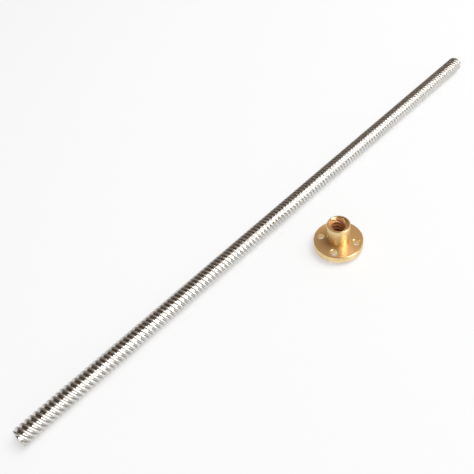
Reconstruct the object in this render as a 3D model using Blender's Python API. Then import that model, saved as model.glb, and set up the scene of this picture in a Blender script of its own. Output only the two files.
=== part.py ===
"""A trapezoidal lead screw with the flanged nut that runs on it, in metres, +Z up.

The screw lies on a flat surface and the nut stands on its short stub beside it, run off the thread.
The origin is the centre of the screw's near end face, and +X runs along the screw's axis.
"""

from math import cos, pi, radians, sin, tan

import bmesh
import bpy
from mathutils import Matrix, Vector

MM = 0.001

# Thread, which the screw and the nut share
NOMINAL_DIAMETER = 8.0 * MM  # over the screw's crests
PITCH = 2.0 * MM  # from one ridge to the next along the axis
STARTS = 4  # ridges that wind side by side
FLANK_ANGLE = radians(30)  # between the two sides of one ridge
CREST_SHARE = 0.366  # flat top of a ridge, in pitches
TIP_CLEARANCE = 0.25 * MM  # from a ridge's top to the bottom of the groove that it runs in

# Screw
SCREW_LENGTH = 300.0 * MM
SCREW_END_CHAMFER = 0.5 * MM
SCREW_STEPS_PER_TURN = 9

# Nut
NUT_WALL = 0.85 * MM  # from the bottom of the nut's groove to the outside of the barrel
BARREL_LENGTH = 10.0 * MM  # above the flange
STUB_LENGTH = 1.5 * MM  # below the flange
FLANGE_THICKNESS = 3.5 * MM
FLANGE_REACH = 5.9 * MM  # from the barrel out to the rim
MOUTH_FLARE = 0.15 * MM  # how far the countersunk mouths open past the nut's groove
NUT_EDGE_CHAMFER = 0.25 * MM
BOLT_HOLES = 4
BOLT_HOLE_DIAMETER = 3.5 * MM
BOLT_HOLE_SETOUT = 2.9 * MM  # from the barrel to the middle of a hole
NUT_STEPS_PER_TURN = 18
NUT_FACETS = 48
BOLT_HOLE_FACETS = 20

# Where the nut stands
NUT_ALONG_SCREW = 148.8 * MM  # from the screw's near end
NUT_BESIDE_SCREW = 31.5 * MM  # from the screw's axis
NUT_TURN = radians(25)  # of the first bolt hole from +X

# How far a cutter runs past the face that it opens
CUTTER_OVERRUN = 1.0 * MM

# Sizes that follow
THREAD_LEAD = PITCH * STARTS
SCREW_CREST_RADIUS = NOMINAL_DIAMETER / 2
SCREW_ROOT_RADIUS = SCREW_CREST_RADIUS - PITCH / 2 - TIP_CLEARANCE
NUT_CREST_RADIUS = SCREW_CREST_RADIUS - PITCH / 2
NUT_GROOVE_RADIUS = SCREW_CREST_RADIUS + TIP_CLEARANCE
BARREL_RADIUS = NUT_GROOVE_RADIUS + NUT_WALL
FLANGE_RADIUS = BARREL_RADIUS + FLANGE_REACH
BOLT_CIRCLE_RADIUS = BARREL_RADIUS + BOLT_HOLE_SETOUT
NUT_HEIGHT = STUB_LENGTH + FLANGE_THICKNESS + BARREL_LENGTH
FLOOR_HEIGHT = -SCREW_CREST_RADIUS


def thread_section(tip_radius, bottom_radius, arc_steps):
    """Corners of a cut square across the thread, as (angle, radius), once round from the first ridge.

    One turn of the section holds every start, so a length along the axis becomes an angle at
    2 pi for each lead. The flanks pass through the nominal crest's corners at any tip radius.
    """
    flank_slope = tan(FLANK_ANGLE / 2)
    crest = PITCH * CREST_SHARE
    tip_low = (tip_radius - SCREW_CREST_RADIUS) * flank_slope
    bottom_low = (bottom_radius - SCREW_CREST_RADIUS) * flank_slope
    corners = []
    for start in range(STARTS):
        for radius, low, high in (
            (tip_radius, tip_low, crest - tip_low),
            (bottom_radius, crest - bottom_low, PITCH + bottom_low),
        ):
            for step in range(arc_steps + 1):
                along = start * PITCH + low + (high - low) * step / arc_steps
                corners.append((along / THREAD_LEAD * 2 * pi, radius))
    return corners


def wind(bm, loop, length, steps):
    """Draws a section's edges along +X with the twist of a right-hand thread. It gives the last loop."""
    spun = bmesh.ops.spin(
        bm,
        geom=loop,
        axis=Vector((1, 0, 0)),
        cent=Vector((0, 0, 0)),
        dvec=Vector((length / steps, 0, 0)),
        angle=length / THREAD_LEAD * 2 * pi,
        steps=steps,
    )
    return [item for item in spun["geom_last"] if isinstance(item, bmesh.types.BMEdge)]


def threaded_bar(bm, section, stretches):
    """A closed bar with this section along +X from the origin, in stretches of (length, steps)."""
    ring = [bm.verts.new((0, radius * cos(angle), radius * sin(angle))) for angle, radius in section]
    loop = [bm.edges.new((ring[i - 1], ring[i])) for i in range(len(ring))]
    bm.faces.new(ring)
    for length, steps in stretches:
        loop = wind(bm, loop, length, steps)
    bmesh.ops.contextual_create(bm, geom=loop)
    # The short diagonal of each twisted quad stays near the thread's surface, and the long one dips inside.
    bmesh.ops.triangulate(bm, faces=bm.faces[:], quad_method="SHORT_EDGE")
    bmesh.ops.recalc_face_normals(bm, faces=bm.faces[:])


def steps_along(length, steps_per_turn):
    return max(1, round(length / THREAD_LEAD * steps_per_turn))


def chamfer_ends(bm, length, chamfer):
    """Turns the bar's two ends down to 45-degree cones, from its nominal radius."""
    for vert in bm.verts:
        from_end = max(0.0, min(vert.co.x, length - vert.co.x))
        limit = SCREW_CREST_RADIUS - chamfer + from_end
        radius = Vector((0, vert.co.y, vert.co.z)).length
        if radius > limit:
            vert.co.y *= limit / radius
            vert.co.z *= limit / radius


def lathe(bm, profile, facets):
    """Turns (radius, height) points about +Z. The first and last lie on the axis."""
    points = [bm.verts.new((radius, 0, height)) for radius, height in profile]
    edges = [bm.edges.new(pair) for pair in zip(points, points[1:])]
    bmesh.ops.spin(
        bm,
        geom=points + edges,
        axis=Vector((0, 0, 1)),
        cent=Vector((0, 0, 0)),
        dvec=Vector((0, 0, 0)),
        angle=2 * pi,
        steps=facets,
    )
    bmesh.ops.remove_doubles(bm, verts=bm.verts[:], dist=0.001 * MM)
    bmesh.ops.recalc_face_normals(bm, faces=bm.faces[:])


def metal(name, colour, roughness):
    material = bpy.data.materials.new(name)
    material.use_nodes = True
    shader = material.node_tree.nodes["Principled BSDF"]
    shader.inputs["Base Color"].default_value = (*colour, 1)
    shader.inputs["Metallic"].default_value = 1.0
    shader.inputs["Roughness"].default_value = roughness
    return material


def add_object(name, bm, material=None):
    """Makes the mesh an object. With no material it is a cutter, which is left out of the model."""
    mesh = bpy.data.meshes.new(name)
    bm.to_mesh(mesh)
    bm.free()
    obj = bpy.data.objects.new(name, mesh)
    bpy.context.scene.collection.objects.link(obj)
    if material is None:
        obj.hide_render = True
        obj.display_type = "WIRE"
    else:
        mesh.materials.append(material)
        mesh.shade_smooth()
        mesh.set_sharp_from_angle(angle=radians(35))
    return obj


def cut(obj, cutter):
    """Takes the cutter's shape out of the object. The cutter keeps its place on it."""
    cutter.parent = obj
    modifier = obj.modifiers.new(cutter.name, "BOOLEAN")
    modifier.operation = "DIFFERENCE"
    modifier.solver = "EXACT"
    modifier.object = cutter


def lead_screw():
    """Rolled bar, threaded over its whole length, with both ends chamfered."""
    bm = bmesh.new()
    between = SCREW_LENGTH - 2 * SCREW_END_CHAMFER
    stretches = [
        (SCREW_END_CHAMFER, 1),
        (between, steps_along(between, SCREW_STEPS_PER_TURN)),
        (SCREW_END_CHAMFER, 1),
    ]
    threaded_bar(bm, thread_section(SCREW_CREST_RADIUS, SCREW_ROOT_RADIUS, 1), stretches)
    chamfer_ends(bm, SCREW_LENGTH, SCREW_END_CHAMFER)
    # A ridge's corner points straight down where the chamfer ends, so the bar lies on its full diameter.
    to_corner = (SCREW_END_CHAMFER + PITCH * CREST_SHARE) / THREAD_LEAD * 2 * pi
    bmesh.ops.rotate(bm, verts=bm.verts[:], matrix=Matrix.Rotation(-pi / 2 - to_corner, 3, "X"))
    return add_object("lead_screw", bm, metal("Bright rolled steel", (0.62, 0.60, 0.57), 0.18))


def nut_bore_cutter():
    """The screw's own thread, opened by the clearance at its tips and by the pitch line at its roots."""
    bm = bmesh.new()
    length = NUT_HEIGHT + 2 * CUTTER_OVERRUN
    section = thread_section(NUT_GROOVE_RADIUS, NUT_CREST_RADIUS, 2)
    threaded_bar(bm, section, [(length, steps_along(length, NUT_STEPS_PER_TURN))])
    bmesh.ops.rotate(bm, verts=bm.verts[:], matrix=Matrix.Rotation(-pi / 2, 3, "Y"))
    bmesh.ops.translate(bm, verts=bm.verts[:], vec=Vector((0, 0, -CUTTER_OVERRUN)))
    return add_object("nut_bore_cutter", bm)


def mouth_cutter(name, mouth_height, outward):
    """A 45-degree countersink whose tip stays inside the bore. outward is 1 upwards and -1 downwards."""
    bm = bmesh.new()
    mouth_radius = NUT_GROOVE_RADIUS + MOUTH_FLARE
    tip_radius = NUT_CREST_RADIUS / 2
    profile = [
        (0, mouth_height - outward * (mouth_radius - tip_radius)),
        (tip_radius, mouth_height - outward * (mouth_radius - tip_radius)),
        (mouth_radius + CUTTER_OVERRUN, mouth_height + outward * CUTTER_OVERRUN),
        (0, mouth_height + outward * CUTTER_OVERRUN),
    ]
    lathe(bm, profile, NUT_FACETS)
    return add_object(name, bm)


def bolt_hole_cutter():
    bm = bmesh.new()
    for hole in range(BOLT_HOLES):
        angle = 2 * pi * hole / BOLT_HOLES
        place = Vector((BOLT_CIRCLE_RADIUS * cos(angle), BOLT_CIRCLE_RADIUS * sin(angle), 0))
        bmesh.ops.create_cone(
            bm,
            cap_ends=True,
            segments=BOLT_HOLE_FACETS,
            radius1=BOLT_HOLE_DIAMETER / 2,
            radius2=BOLT_HOLE_DIAMETER / 2,
            depth=FLANGE_THICKNESS + 2 * CUTTER_OVERRUN,
            matrix=Matrix.Translation(place + Vector((0, 0, STUB_LENGTH + FLANGE_THICKNESS / 2))),
        )
    return add_object("bolt_hole_cutter", bm)


def flange_nut():
    """Turned nut: a stub, a flange with four bolt holes, and a thin barrel, with one thread through."""
    flange_top = STUB_LENGTH + FLANGE_THICKNESS
    edge = NUT_EDGE_CHAMFER
    profile = [
        (0, 0),
        (BARREL_RADIUS - edge, 0),
        (BARREL_RADIUS, edge),
        (BARREL_RADIUS, STUB_LENGTH),
        (FLANGE_RADIUS - edge, STUB_LENGTH),
        (FLANGE_RADIUS, STUB_LENGTH + edge),
        (FLANGE_RADIUS, flange_top - edge),
        (FLANGE_RADIUS - edge, flange_top),
        (BARREL_RADIUS, flange_top),
        (BARREL_RADIUS, NUT_HEIGHT - edge),
        (BARREL_RADIUS - edge, NUT_HEIGHT),
        (0, NUT_HEIGHT),
    ]
    bm = bmesh.new()
    lathe(bm, profile, NUT_FACETS)
    nut = add_object("flange_nut", bm, metal("Turned brass", (0.69, 0.46, 0.17), 0.22))
    cut(nut, nut_bore_cutter())
    cut(nut, mouth_cutter("top_mouth_cutter", NUT_HEIGHT, 1))
    cut(nut, mouth_cutter("stub_mouth_cutter", 0, -1))
    cut(nut, bolt_hole_cutter())
    nut.location = (NUT_ALONG_SCREW, -NUT_BESIDE_SCREW, FLOOR_HEIGHT)
    nut.rotation_euler = (0, 0, NUT_TURN)
    return nut


def main():
    for obj in list(bpy.data.objects):
        bpy.data.objects.remove(obj, do_unlink=True)
    screw = lead_screw()
    nut = flange_nut()
    print("built", screw.name, "and", nut.name)


main()
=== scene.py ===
from math import cos, inf, pi, radians, sin, tan

import bmesh
import bpy
from mathutils import Matrix, Vector


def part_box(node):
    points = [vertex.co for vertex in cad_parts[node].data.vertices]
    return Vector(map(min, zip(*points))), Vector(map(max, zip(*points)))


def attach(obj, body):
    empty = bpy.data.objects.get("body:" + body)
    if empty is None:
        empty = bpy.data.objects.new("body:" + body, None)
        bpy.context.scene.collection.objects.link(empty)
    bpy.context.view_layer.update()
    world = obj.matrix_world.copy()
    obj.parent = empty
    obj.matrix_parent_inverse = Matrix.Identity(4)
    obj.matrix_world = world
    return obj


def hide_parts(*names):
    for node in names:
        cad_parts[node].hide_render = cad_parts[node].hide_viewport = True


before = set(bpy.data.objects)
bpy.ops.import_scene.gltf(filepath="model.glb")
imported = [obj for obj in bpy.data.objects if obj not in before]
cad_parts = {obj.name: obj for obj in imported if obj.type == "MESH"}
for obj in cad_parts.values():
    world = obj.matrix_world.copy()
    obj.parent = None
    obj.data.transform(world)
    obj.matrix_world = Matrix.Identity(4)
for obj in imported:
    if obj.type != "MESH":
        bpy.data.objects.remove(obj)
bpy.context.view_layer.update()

mm = 0.001
screwLow, screwHigh = (Vector(corner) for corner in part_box("lead_screw"))
screwMiddle = (screwLow + screwHigh) / 2
nutLow, nutHigh = (Vector(corner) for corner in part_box("flange_nut"))
print("frame loaded, screw", round((screwHigh.x - screwLow.x) / mm), "mm long")

# the thread that the screw and the nut share, with its ridges side by side
thread = {
    "radius": (screwHigh.z - screwLow.z) / 2,  # over the screw's ridges
    "pitch": 2.0 * mm,  # from one ridge to the next along the axis
    "starts": 4,
    "flankAngle": radians(30),  # between the two sides of a ridge
    "ridgeTop": 0.366,  # flat top of a ridge, in pitches
    "tipClearance": 0.25 * mm,  # from a ridge's top to the bottom of the groove that it runs in
    "cornerReach": 0.12 * mm,  # how far a corner is cut back along each of its sides
    "cornerInset": 0.15,  # share of the way to the cut's middle that its two ends then move in
    "topSteps": 4,  # facets over a ridge's top
    "bottomSteps": 3,  # facets over a groove's bottom
    "stepsPerTurn": 48,
}
lead = thread["pitch"] * thread["starts"]


def softCorner(before, corner, after):
    # the two ends of the small facet that takes a sharp corner off
    near = corner + (before - corner).normalized() * thread["cornerReach"]
    far = corner + (after - corner).normalized() * thread["cornerReach"]
    middle = (near + far) / 2
    return [near.lerp(middle, thread["cornerInset"]), far.lerp(middle, thread["cornerInset"])]


def stepsBetween(first, last, steps):
    # the points that divide a flat into this many facets
    return [first.lerp(last, step / steps) for step in range(1, steps)]


def threadSection(tipRadius, bottomRadius):
    # the cut square across the thread as (angle, radius), from one profile for each ridge
    slope = tan(thread["flankAngle"] / 2)
    pitch = thread["pitch"]
    top = pitch * thread["ridgeTop"]
    topLow = (tipRadius - thread["radius"]) * slope
    bottomLow = (bottomRadius - thread["radius"]) * slope
    corners = [
        Vector((topLow, tipRadius)),
        Vector((top - topLow, tipRadius)),
        Vector((top - bottomLow, bottomRadius)),
        Vector((pitch + bottomLow, bottomRadius)),
    ]
    onePitch = Vector((pitch, 0))
    befores = [corners[3] - onePitch] + corners[:3]
    afters = corners[1:] + [corners[0] + onePitch]
    soft = [softCorner(*three) for three in zip(befores, corners, afters)]
    profile = soft[0] + stepsBetween(soft[0][1], soft[1][0], thread["topSteps"]) + soft[1]
    profile += soft[2] + stepsBetween(soft[2][1], soft[3][0], thread["bottomSteps"]) + soft[3]
    return [
        ((along + start * pitch) / lead * 2 * pi, radius)
        for start in range(thread["starts"])
        for along, radius in profile
    ]


def threadedBar(name, section, length, radiusLimit=None):
    # rings along +X, each turned a little further than the last, closed by a fan at each end
    steps = round(length / lead * thread["stepsPerTurn"])
    points = []
    for step in range(steps + 1):
        x = length * step / steps
        twist = x / lead * 2 * pi
        limit = radiusLimit(x) if radiusLimit else inf
        for angle, sectionRadius in section:
            radius = min(sectionRadius, limit)
            points.append((x, radius * cos(angle + twist), radius * sin(angle + twist)))
    count = len(section)
    faces = []
    for step in range(steps):
        for side in range(count):
            low = step * count + side
            lowNext = step * count + (side + 1) % count
            # split along the short diagonal, which stays on the thread's surface
            faces.append((low, lowNext, low + count))
            faces.append((lowNext, lowNext + count, low + count))
    last = steps * count
    points += [(0, 0, 0), (length, 0, 0)]
    for side in range(count):
        after = (side + 1) % count
        faces.append((after, side, len(points) - 2))
        faces.append((last + side, last + after, len(points) - 1))
    mesh = bpy.data.meshes.new(name)
    mesh.from_pydata(points, [], faces)
    return mesh


def lathe(name, profile, facets):
    # turns (radius, height) points about +Z, from the axis and back to it
    sameWithin = 0.001 * mm  # points nearer than this are one
    bm = bmesh.new()
    points = [bm.verts.new((radius, 0, height)) for radius, height in profile]
    edges = [bm.edges.new(pair) for pair in zip(points, points[1:])]
    bmesh.ops.spin(
        bm, geom=points + edges, axis=(0, 0, 1), cent=(0, 0, 0), angle=2 * pi, steps=facets)
    bmesh.ops.remove_doubles(bm, verts=bm.verts[:], dist=sameWithin)
    bmesh.ops.recalc_face_normals(bm, faces=bm.faces[:])
    mesh = bpy.data.meshes.new(name)
    bm.to_mesh(mesh)
    bm.free()
    return mesh


def addObject(name, data):
    added = bpy.data.objects.new(name, data)
    bpy.context.scene.collection.objects.link(added)
    return added


def cutOut(piece, cutters):
    # takes the cutters out of the piece for good, and deletes them
    for cutter in cutters:
        modifier = piece.modifiers.new(cutter.name, "BOOLEAN")
        modifier.object = cutter
        modifier.solver = "EXACT"
    bpy.context.view_layer.update()
    evaluated = piece.evaluated_get(bpy.context.evaluated_depsgraph_get())
    cutMesh = bpy.data.meshes.new_from_object(evaluated)
    piece.modifiers.clear()
    piece.data = cutMesh
    for cutter in cutters:
        bpy.data.objects.remove(cutter)


def smoothShade(piece, sharpAngle):
    # flat faces stay flat to the eye, and the small corner faces carry the highlight
    piece.data.shade_smooth()
    piece.data.set_sharp_from_angle(angle=sharpAngle)
    weighted = piece.modifiers.new("Weighted normals", "WEIGHTED_NORMAL")
    weighted.keep_sharp = True


def fromHex(code):
    # sRGB hex to linear
    parts = [int(code[at:at + 2], 16) / 255 for at in (1, 3, 5)]
    return [
        part / 12.92 if part <= 0.04045 else ((part + 0.055) / 1.055) ** 2.4
        for part in parts
    ] + [1.0]


def addNode(tree, kind, inputs, **settings):
    # a Mix takes its share in 0 and its two ends in 2 and 3 as numbers, 4 and 5 as vectors, or
    # 6 and 7 as colours, and gives them out in 0, 1 or 2
    node = tree.nodes.new("ShaderNode" + kind)
    for setting, value in settings.items():
        setattr(node, setting, value)
    for socket, value in inputs.items():
        if isinstance(value, bpy.types.NodeSocket):
            tree.links.new(value, node.inputs[socket])
        else:
            node.inputs[socket].default_value = value
    return node


def newMaterial(name):
    material = bpy.data.materials.new(name)
    material.use_nodes = True
    tree = material.node_tree
    return material, tree, tree.nodes["Principled BSDF"]


# rolled between dies, which burnish the grooves to dark mirrors and leave the ridges' tops duller,
# so the ridges read as grey lines where the room is dark and as soft white where it is bright, with
# fine drawn lines along them and smears of oil. The grooves' steel is toned a little darker,
# painted shade. The ends are cut square, with the cutter's rings
steel = {
    "ridge": "#DDDBD8",
    # a little darker than the ridge: painted shade in the grooves
    "groove": "#CFCDC9",
    "smear": "#C1BEB9",
    "ridgeRoughness": 0.32,
    "grooveRoughness": 0.15,
    "endRoughness": 0.34,
    "ridgeMetallic": 0.88,  # under 1 where a worn film scatters some light
    "dullDepth": (0.05 * mm, 0.6 * mm),  # below the top, where the duller finish fades, and ends
    "lineWidth": 0.25 * mm,  # across a drawn line, really 0.05 mm, drawn coarser so that it shows
    "lineLength": 9.0 * mm,  # along the ridge
    "lineHeight": 0.006 * mm,
    "lineRoughness": 0.16,  # from the smoothest line to the roughest
    "endRing": 0.25 * mm,  # between the cutter's rings, really 0.1 mm, coarser as the lines are
    "endFacing": (0.98, 0.995),  # how squarely a face looks along the bar, to count as its end
    "smearSize": 14.0 * mm,
    "smearEdge": (0.5, 0.72),  # of the noise, from clean to smeared
    "smearShare": 0.55,  # how much of the steel a smear hides
    "smearRoughness": 0.16,  # added where a smear would hide all of it
}


def rolledSteel():
    material, tree, shader = newMaterial("Bright rolled stainless steel")
    place = addNode(tree, "TexCoord", {}).outputs["Object"]
    axes = addNode(tree, "SeparateXYZ", {0: place}).outputs
    fromAxis = addNode(tree, "CombineXYZ", {0: axes["Y"], 1: axes["Z"]}).outputs[0]
    radius = addNode(tree, "VectorMath", {0: fromAxis}, operation="LENGTH").outputs["Value"]
    dullStart, dullEnd = (thread["radius"] - depth for depth in steel["dullDepth"])
    height = addNode(tree, "MapRange", {
        "Value": radius, "From Min": dullEnd, "From Max": dullStart,
    }).outputs[0]
    # the ridge's own line round the bar, with its seam underneath where the bar lies
    around = addNode(tree, "Math", {0: axes["Y"], 1: axes["Z"]}, operation="ARCTAN2").outputs[0]
    unrolled = addNode(tree, "Math", {0: around, 1: lead / (2 * pi)}, operation="MULTIPLY")
    across = addNode(tree, "Math", {
        0: axes["X"], 1: unrolled.outputs[0],
    }, operation="ADD").outputs[0]
    acrossLines = addNode(tree, "Math", {0: across, 1: steel["lineWidth"]}, operation="DIVIDE")
    alongLines = addNode(tree, "Math", {0: axes["X"], 1: steel["lineLength"]}, operation="DIVIDE")
    drawn = addNode(tree, "CombineXYZ", {
        0: acrossLines.outputs[0], 1: alongLines.outputs[0],
    }).outputs[0]
    normal = addNode(tree, "TexCoord", {}).outputs["Normal"]
    facing = addNode(tree, "SeparateXYZ", {0: normal}).outputs["X"]
    endwise = addNode(tree, "Math", {0: facing}, operation="ABSOLUTE").outputs[0]
    slanting, square = steel["endFacing"]
    onEnd = addNode(tree, "MapRange", {
        "Value": endwise, "From Min": slanting, "From Max": square,
    }).outputs[0]
    acrossRings = addNode(tree, "Math", {0: radius, 1: steel["endRing"]}, operation="DIVIDE")
    ringed = addNode(tree, "CombineXYZ", {0: acrossRings.outputs[0]}).outputs[0]
    marks = addNode(tree, "Mix", {0: onEnd, 4: drawn, 5: ringed}, data_type="VECTOR").outputs[1]
    lines = addNode(tree, "TexNoise", {
        "Vector": marks, "Scale": 1.0, "Detail": 3.0, "Roughness": 0.6,
    })
    smears = addNode(tree, "TexNoise", {
        "Vector": place, "Scale": 1 / steel["smearSize"], "Detail": 4.0, "Roughness": 0.62,
    })
    cleanEdge, smearEdge = steel["smearEdge"]
    smearAmount = addNode(tree, "MapRange", {
        "Value": smears.outputs["Fac"],
        "From Min": cleanEdge,
        "From Max": smearEdge,
        "To Max": steel["smearShare"],
    }).outputs[0]
    # painted shade: the steel's tone darkens from the ridges' tops down into the grooves
    shadeInGrooves = addNode(tree, "Mix", {
        0: height, 6: fromHex(steel["groove"]), 7: fromHex(steel["ridge"]),
    }, data_type="RGBA").outputs[2]
    colour = addNode(tree, "Mix", {
        0: smearAmount, 6: shadeInGrooves, 7: fromHex(steel["smear"]),
    }, data_type="RGBA").outputs[2]
    rolled = addNode(tree, "MapRange", {
        "Value": height, "To Min": steel["grooveRoughness"], "To Max": steel["ridgeRoughness"],
    }).outputs[0]
    base = addNode(tree, "Mix", {0: onEnd, 2: rolled, 3: steel["endRoughness"]}).outputs[0]
    streaked = addNode(tree, "Math", {
        0: lines.outputs["Fac"], 1: steel["lineRoughness"], 2: base,
    }, operation="MULTIPLY_ADD").outputs[0]
    centred = addNode(tree, "Math", {
        0: streaked, 1: steel["lineRoughness"] / 2,
    }, operation="SUBTRACT").outputs[0]
    roughness = addNode(tree, "Math", {
        0: smearAmount, 1: steel["smearRoughness"], 2: centred,
    }, operation="MULTIPLY_ADD")
    bump = addNode(tree, "Bump", {
        "Height": lines.outputs["Fac"], "Distance": steel["lineHeight"], "Strength": 1.0,
    })
    metallic = addNode(tree, "MapRange", {
        "Value": height, "To Min": 1.0, "To Max": steel["ridgeMetallic"],
    })
    tree.links.new(colour, shader.inputs["Base Color"])
    tree.links.new(metallic.outputs[0], shader.inputs["Metallic"])
    tree.links.new(roughness.outputs[0], shader.inputs["Roughness"])
    tree.links.new(bump.outputs[0], shader.inputs["Normal"])
    return material


screw = {
    "length": screwHigh.x - screwLow.x,
    "bottomRadius": thread["radius"] - thread["pitch"] / 2 - thread["tipClearance"],
    "endChamfer": 0.5 * mm,
    "sharpAngle": radians(50),  # between two faces, past which the edge stays sharp
}


def makeScrew():
    def conedEnds(x):
        fromEnd = min(x, screw["length"] - x)
        return thread["radius"] - screw["endChamfer"] + fromEnd

    section = threadSection(thread["radius"], screw["bottomRadius"])
    bar = threadedBar("threaded_bar", section, screw["length"], conedEnds)
    piece = addObject("threaded_bar", bar)
    # turned so that a ridge's corner points straight down where the chamfer ends
    toCorner = (screw["endChamfer"] + thread["pitch"] * thread["ridgeTop"]) / lead * 2 * pi
    piece.data.transform(Matrix.Rotation(-pi / 2 - toCorner, 4, "X"))
    piece.location = (screwLow.x, screwMiddle.y, screwMiddle.z)
    smoothShade(piece, screw["sharpAngle"])
    piece.data.materials.append(rolledSteel())
    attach(piece, "root")
    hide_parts("lead_screw")
    print("screw made,", len(piece.data.polygons), "faces")


# turned on a lathe, so every surface carries fine rings about the axis, which draw a highlight out
# square to the rings: up the barrel, and out across the flange. The flat faces that look up or down
# are given a duller, pinker brown tone, and the bore a redder, darker tone, painted shade inside it
brass = {
    "bright": "#F3DFA8",
    "dull": "#E6B77E",
    # redder and darker than the bright brass: painted shade in the bore
    "bore": "#EBB47E",
    "roughness": 0.26,
    "faceRoughness": 0.38,
    "boreRoughness": 0.40,
    "dullMetallic": 0.5,  # under 1 on the flat faces and in the bore, where some light scatters
    "faceFacing": (0.75, 0.98),  # how squarely a face looks up or down, to take the duller, pinker tone
    "boreDepth": (0.1 * mm, 0.5 * mm),  # in from the mouth's edge, as the bore's look and painted shade set in
    "ringSpacing": 0.30 * mm,  # really 0.1 mm for a finishing cut, drawn coarser so that it shows
    "ringHeight": 0.006 * mm,
    "ringRoughness": 0.14,  # from the smoothest ring to the roughest
    "tarnishSize": 6.0 * mm,
    "tarnishEdge": (0.42, 0.70),  # of the noise, from bright to tarnished
    "tarnishShare": 0.8,  # how much of the bright brass a patch hides
    "anisotropy": 0.8,
    "acrossRings": 0.25,  # turns from the rings' direction to the highlight's
}


def turnedBrass():
    material, tree, shader = newMaterial("Turned brass")
    place = addNode(tree, "TexCoord", {}).outputs["Object"]
    axes = addNode(tree, "SeparateXYZ", {0: place}).outputs
    fromAxis = addNode(tree, "CombineXYZ", {0: axes["X"], 1: axes["Y"]}).outputs[0]
    radius = addNode(tree, "VectorMath", {0: fromAxis}, operation="LENGTH").outputs["Value"]
    # the same at every angle, so one noise gives rings on the flange and lines round the barrel
    turned = addNode(tree, "CombineXYZ", {0: radius, 1: axes["Z"]}).outputs[0]
    rings = addNode(tree, "TexNoise", {
        "Vector": turned, "Scale": 1 / brass["ringSpacing"], "Detail": 2.0, "Roughness": 0.55,
    }, noise_dimensions="2D")
    patches = addNode(tree, "TexNoise", {
        "Vector": place, "Scale": 1 / brass["tarnishSize"], "Detail": 5.0, "Roughness": 0.6,
    })
    brightEdge, tarnishEdge = brass["tarnishEdge"]
    tarnished = addNode(tree, "MapRange", {
        "Value": patches.outputs["Fac"],
        "From Min": brightEdge,
        "From Max": tarnishEdge,
        "To Max": brass["tarnishShare"],
    }).outputs[0]
    boreStart, boreFull = (nut["mouthRadius"] - depth for depth in brass["boreDepth"])
    inBore = addNode(tree, "MapRange", {
        "Value": radius, "From Min": boreStart, "From Max": boreFull,
    }).outputs[0]
    normal = addNode(tree, "TexCoord", {}).outputs["Normal"]
    facing = addNode(tree, "SeparateXYZ", {0: normal}).outputs["Z"]
    upright = addNode(tree, "Math", {0: facing}, operation="ABSOLUTE").outputs[0]
    slanting, square = brass["faceFacing"]
    onFace = addNode(tree, "MapRange", {
        "Value": upright, "From Min": slanting, "From Max": square,
    }).outputs[0]
    # faces that look up or down, and the tarnished patches, take the duller, pinker tone
    dulled = addNode(tree, "Math", {0: tarnished, 1: onFace}, operation="MAXIMUM").outputs[0]
    outside = addNode(tree, "Mix", {
        0: dulled, 6: fromHex(brass["bright"]), 7: fromHex(brass["dull"]),
    }, data_type="RGBA").outputs[2]
    # painted shade: the bore is toned redder and darker than the brass outside it
    colour = addNode(tree, "Mix", {
        0: inBore, 6: outside, 7: fromHex(brass["bore"]),
    }, data_type="RGBA").outputs[2]
    outer = addNode(tree, "MapRange", {
        "Value": onFace, "To Min": brass["roughness"], "To Max": brass["faceRoughness"],
    }).outputs[0]
    base = addNode(tree, "Mix", {0: inBore, 2: outer, 3: brass["boreRoughness"]}).outputs[0]
    ringed = addNode(tree, "Math", {
        0: rings.outputs["Fac"], 1: brass["ringRoughness"], 2: base,
    }, operation="MULTIPLY_ADD").outputs[0]
    roughness = addNode(tree, "Math", {
        0: ringed, 1: brass["ringRoughness"] / 2,
    }, operation="SUBTRACT")
    bump = addNode(tree, "Bump", {
        "Height": rings.outputs["Fac"], "Distance": brass["ringHeight"], "Strength": 1.0,
    })
    tangent = addNode(tree, "Tangent", {}, direction_type="RADIAL", axis="Z")
    filmed = addNode(tree, "Math", {0: onFace, 1: inBore}, operation="MAXIMUM").outputs[0]
    metallic = addNode(tree, "MapRange", {
        "Value": filmed, "To Min": 1.0, "To Max": brass["dullMetallic"],
    })
    shader.inputs["Anisotropic"].default_value = brass["anisotropy"]
    shader.inputs["Anisotropic Rotation"].default_value = brass["acrossRings"]
    tree.links.new(colour, shader.inputs["Base Color"])
    tree.links.new(metallic.outputs[0], shader.inputs["Metallic"])
    tree.links.new(roughness.outputs[0], shader.inputs["Roughness"])
    tree.links.new(bump.outputs[0], shader.inputs["Normal"])
    tree.links.new(tangent.outputs[0], shader.inputs["Tangent"])
    return material


nut = {
    "height": nutHigh.z - nutLow.z,
    "stub": 1.5 * mm,
    "flangeThickness": 3.5 * mm,
    "flangeRadius": (nutHigh.x - nutLow.x) / 2,
    "barrelRadius": 5.1 * mm,
    "edgeRound": 0.3 * mm,
    "edgeSteps": 4,  # facets round an edge
    "grooveRadius": thread["radius"] + thread["tipClearance"],
    "ridgeRadius": thread["radius"] - thread["pitch"] / 2,
    "mouthRadius": 4.4 * mm,
    "holes": 4,
    "holeRadius": 1.75 * mm,
    "holeCircleRadius": 8.0 * mm,
    "holeEdge": 0.12 * mm,  # broken edge round each hole
    "turn": radians(25),  # of the first hole from +X
    "facets": 144,
    "holeFacets": 48,
    "overrun": 1.0 * mm,  # of a cutter past the face that it opens
    "sharpAngle": radians(30),  # between two faces, past which the edge stays sharp
}


def roundedEdge(radius, height, upward):
    # quarter turn from the side of a cylinder to its face, as (radius, height)
    reach = nut["edgeRound"]
    arc = []
    for step in range(nut["edgeSteps"] + 1):
        angle = pi / 2 * step / nut["edgeSteps"]
        side = radius - reach * (1 - cos(angle))
        arc.append((side, height - upward * reach * (1 - sin(angle))))
    return arc


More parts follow.
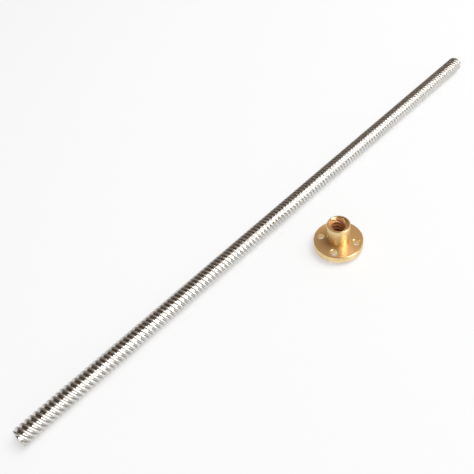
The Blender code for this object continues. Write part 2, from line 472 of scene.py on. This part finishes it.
def nutProfile(stubTop, flangeTop):
    # from the axis under the stub, out round the flange, and back to the axis over the barrel
    barrel = nut["barrelRadius"]
    flange = nut["flangeRadius"]
    profile = [(0, 0)]
    profile += reversed(roundedEdge(barrel, 0, -1))
    profile += [(barrel, stubTop)]
    profile += reversed(roundedEdge(flange, stubTop, -1))
    profile += roundedEdge(flange, flangeTop, 1)
    profile += [(barrel, flangeTop)]
    profile += roundedEdge(barrel, nut["height"], 1)
    profile += [(0, nut["height"])]
    return profile


def nutCutters(stubTop, flangeTop):
    # the threaded bore, a countersink at each mouth, and the bolt holes with their broken edges
    overrun = nut["overrun"]
    boreSection = threadSection(nut["grooveRadius"], nut["ridgeRadius"])
    bore = addObject("bore", threadedBar("bore", boreSection, nut["height"] + 2 * overrun))
    upright = Matrix.Rotation(-pi / 2, 4, "Y")
    bore.data.transform(Matrix.Translation((0, 0, -overrun)) @ upright)
    cutters = [bore]
    tip = nut["ridgeRadius"] / 2  # a countersink's blunt tip, which stays inside the bore
    mouth = nut["mouthRadius"]
    for name, face, outward in (("topMouth", nut["height"], 1), ("stubMouth", 0, -1)):
        cone = [
            (0, face - outward * (mouth - tip)),
            (tip, face - outward * (mouth - tip)),
            (mouth + overrun, face + outward * overrun),
            (0, face + outward * overrun),
        ]
        cutters.append(addObject(name, lathe(name, cone, nut["facets"])))
    hole = nut["holeRadius"]
    edge = nut["holeEdge"]
    drilled = [
        (0, stubTop - overrun),
        (hole + edge + overrun, stubTop - overrun),
        (hole, stubTop + edge),
        (hole, flangeTop - edge),
        (hole + edge + overrun, flangeTop + overrun),
        (0, flangeTop + overrun),
    ]
    for number in range(nut["holes"]):
        angle = nut["turn"] + 2 * pi * number / nut["holes"]
        place = Vector((cos(angle), sin(angle), 0)) * nut["holeCircleRadius"]
        drill = addObject("drill", lathe("drill", drilled, nut["holeFacets"]))
        drill.data.transform(Matrix.Translation(place))
        cutters.append(drill)
    return cutters


def makeNut():
    stubTop = nut["stub"]
    flangeTop = stubTop + nut["flangeThickness"]
    blank = lathe("turned_nut", nutProfile(stubTop, flangeTop), nut["facets"])
    piece = addObject("turned_nut", blank)
    cutOut(piece, nutCutters(stubTop, flangeTop))
    piece.location = ((nutLow.x + nutHigh.x) / 2, (nutLow.y + nutHigh.y) / 2, nutLow.z)
    smoothShade(piece, nut["sharpAngle"])
    piece.data.materials.append(turnedBrass())
    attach(piece, "root")
    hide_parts("flange_nut")
    print("nut made,", len(piece.data.polygons), "faces")


# pressed smooth and matt, so it shows soft shadows and no gloss
table = {
    "size": 3.0,
    "colour": "#F7F7F7",
    "roughness": 0.6,
    "lift": 0.46,  # share of plain white that the camera sees in it, so shadows stay pale
    "liftMirrored": 0.5,  # the same in a reflection
    "fade": (0.4, 1.3),  # metres out over which it turns plain white, so its far edge hardly shows
}
plainWhite = fromHex("#FFFFFF")


def makeFloor():
    middle = (screwMiddle.x, screwMiddle.y, screwLow.z)
    bpy.ops.mesh.primitive_plane_add(size=table["size"], location=middle)
    floor = bpy.context.object
    floor.name = "floor"
    material, tree, shader = newMaterial("Matt white laminate table")
    shader.inputs["Base Color"].default_value = fromHex(table["colour"])
    shader.inputs["Roughness"].default_value = table["roughness"]
    shader.inputs["Specular IOR Level"].default_value = 0.0
    path = addNode(tree, "LightPath", {}).outputs
    place = addNode(tree, "TexCoord", {}).outputs["Object"]
    outwards = addNode(tree, "VectorMath", {0: place}, operation="LENGTH").outputs["Value"]
    near, far = table["fade"]
    whitened = addNode(tree, "MapRange", {
        "Value": outwards, "From Min": near, "From Max": far, "To Min": table["lift"],
    }, interpolation_type="SMOOTHSTEP").outputs[0]
    seen = addNode(tree, "Math", {
        0: path["Is Camera Ray"], 1: whitened,
    }, operation="MULTIPLY").outputs[0]
    lift = addNode(tree, "Math", {
        0: path["Is Glossy Ray"], 1: table["liftMirrored"], 2: seen,
    }, operation="MULTIPLY_ADD").outputs[0]
    white = addNode(tree, "Emission", {"Color": plainWhite, "Strength": 1.0}).outputs[0]
    mixed = addNode(tree, "MixShader", {0: lift, 1: shader.outputs[0], 2: white}).outputs[0]
    tree.links.new(mixed, tree.nodes["Material Output"].inputs["Surface"])
    floor.data.materials.append(material)
    print("table made")


# directions are degrees round from +X, and up
room = {
    "fillStrength": 0.46,
    "roomColour": "#655647",  # the unlit side of the room, which the metal reflects
    "wallColour": "#FFE8CC",  # the pale wall round the window
    "wallBrightness": 0.7,
    "wallDirection": (-48, 26),
    "wallFade": (34, 58),  # degrees off its middle, where it starts to fade, and ends
    "windowColour": "#FFFFFF",
    "windowBrightness": 8.5,
    "windowPanes": [(-78, 17), (-78, 39), (-78, 61)],
    "windowFade": (5, 19),
}


def directionFrom(angles):
    around, up = (radians(angle) for angle in angles)
    return Vector((cos(up) * cos(around), cos(up) * sin(around), sin(up)))


def glow(tree, direction, angles, fade):
    # 1 towards the given angles and 0 past the fade, by direction alone
    facing = addNode(tree, "VectorMath", {
        0: direction, 1: directionFrom(angles),
    }, operation="DOT_PRODUCT").outputs["Value"]
    offAxis = addNode(tree, "Math", {0: facing}, operation="ARCCOSINE").outputs[0]
    inner, outer = (radians(angle) for angle in fade)
    return addNode(tree, "MapRange", {
        "Value": offAxis, "From Min": outer, "From Max": inner,
    }, interpolation_type="SMOOTHSTEP").outputs[0]


def makeRoom():
    # matt surfaces get an even fill, the camera sees white, and metal sees a bright window in a
    # pale wall, with the rest of the room dim and warm
    world = bpy.data.worlds.new("White table in a dim room with one window")
    bpy.context.scene.world = world
    world.use_nodes = True
    tree = world.node_tree
    direction = addNode(tree, "TexCoord", {}).outputs["Generated"]
    mirrored = fromHex(room["roomColour"])
    places = [("wall", room["wallDirection"])] + [("window", pane) for pane in room["windowPanes"]]
    for part, middle in places:
        lit = [value * room[part + "Brightness"] for value in fromHex(room[part + "Colour"])]
        mirrored = addNode(tree, "Mix", {
            0: glow(tree, direction, middle, room[part + "Fade"]), 6: mirrored, 7: lit,
        }, data_type="RGBA").outputs[2]
    path = addNode(tree, "LightPath", {}).outputs
    fill = [room["fillStrength"]] * 3 + [1.0]
    matt = addNode(tree, "Mix", {
        0: path["Is Camera Ray"], 6: fill, 7: plainWhite,
    }, data_type="RGBA").outputs[2]
    colour = addNode(tree, "Mix", {
        0: path["Is Glossy Ray"], 6: matt, 7: mirrored,
    }, data_type="RGBA").outputs[2]
    background = tree.nodes["Background"]
    background.inputs["Strength"].default_value = 1.0
    tree.links.new(colour, background.inputs["Color"])
    print("room made")


lamp = {
    "direction": (-40, 66),  # as in the room, seen from the screw's middle
    "distance": 1.5,
    "size": 1.2,
    "power": 16.0,
}


def makeLamp():
    # the window's light on matt surfaces, hidden from the metal, which mirrors the window itself
    data = bpy.data.lights.new("window light", "AREA")
    data.shape = "DISK"
    data.size = lamp["size"]
    data.energy = lamp["power"]
    light = addObject("window light", data)
    towards = directionFrom(lamp["direction"])
    light.location = screwMiddle + towards * lamp["distance"]
    light.rotation_euler = towards.to_track_quat("Z", "Y").to_euler()
    light.visible_glossy = False
    print("lamp made")


# fitted to the photograph
camera = {
    "place": Vector((21.17, -127.17, 187.33)) * mm,
    "aim": Vector((123.55, 8.81, -4.0)) * mm,
    "roll": radians(-10.84),
    "focalPixels": 538.0,
    "photoPixels": 474,  # on each side
    "sensorWidth": 36.0,
    "clipStart": 1 * mm,
}


def makeCamera():
    data = bpy.data.cameras.new("camera")
    data.sensor_width = camera["sensorWidth"]
    data.lens = camera["focalPixels"] / camera["photoPixels"] * camera["sensorWidth"]
    data.clip_start = camera["clipStart"]
    view = addObject("camera", data)
    look = (camera["aim"] - camera["place"]).to_track_quat("-Z", "Y").to_matrix().to_4x4()
    rolled = look @ Matrix.Rotation(camera["roll"], 4, "Z")
    view.matrix_world = Matrix.Translation(camera["place"]) @ rolled
    bpy.context.scene.camera = view
    print("camera set")


makeCamera()
makeScrew()
makeNut()
makeFloor()
makeRoom()
makeLamp()
bpy.context.scene.view_settings.view_transform = "Standard"

bpy.context.view_layer.update()
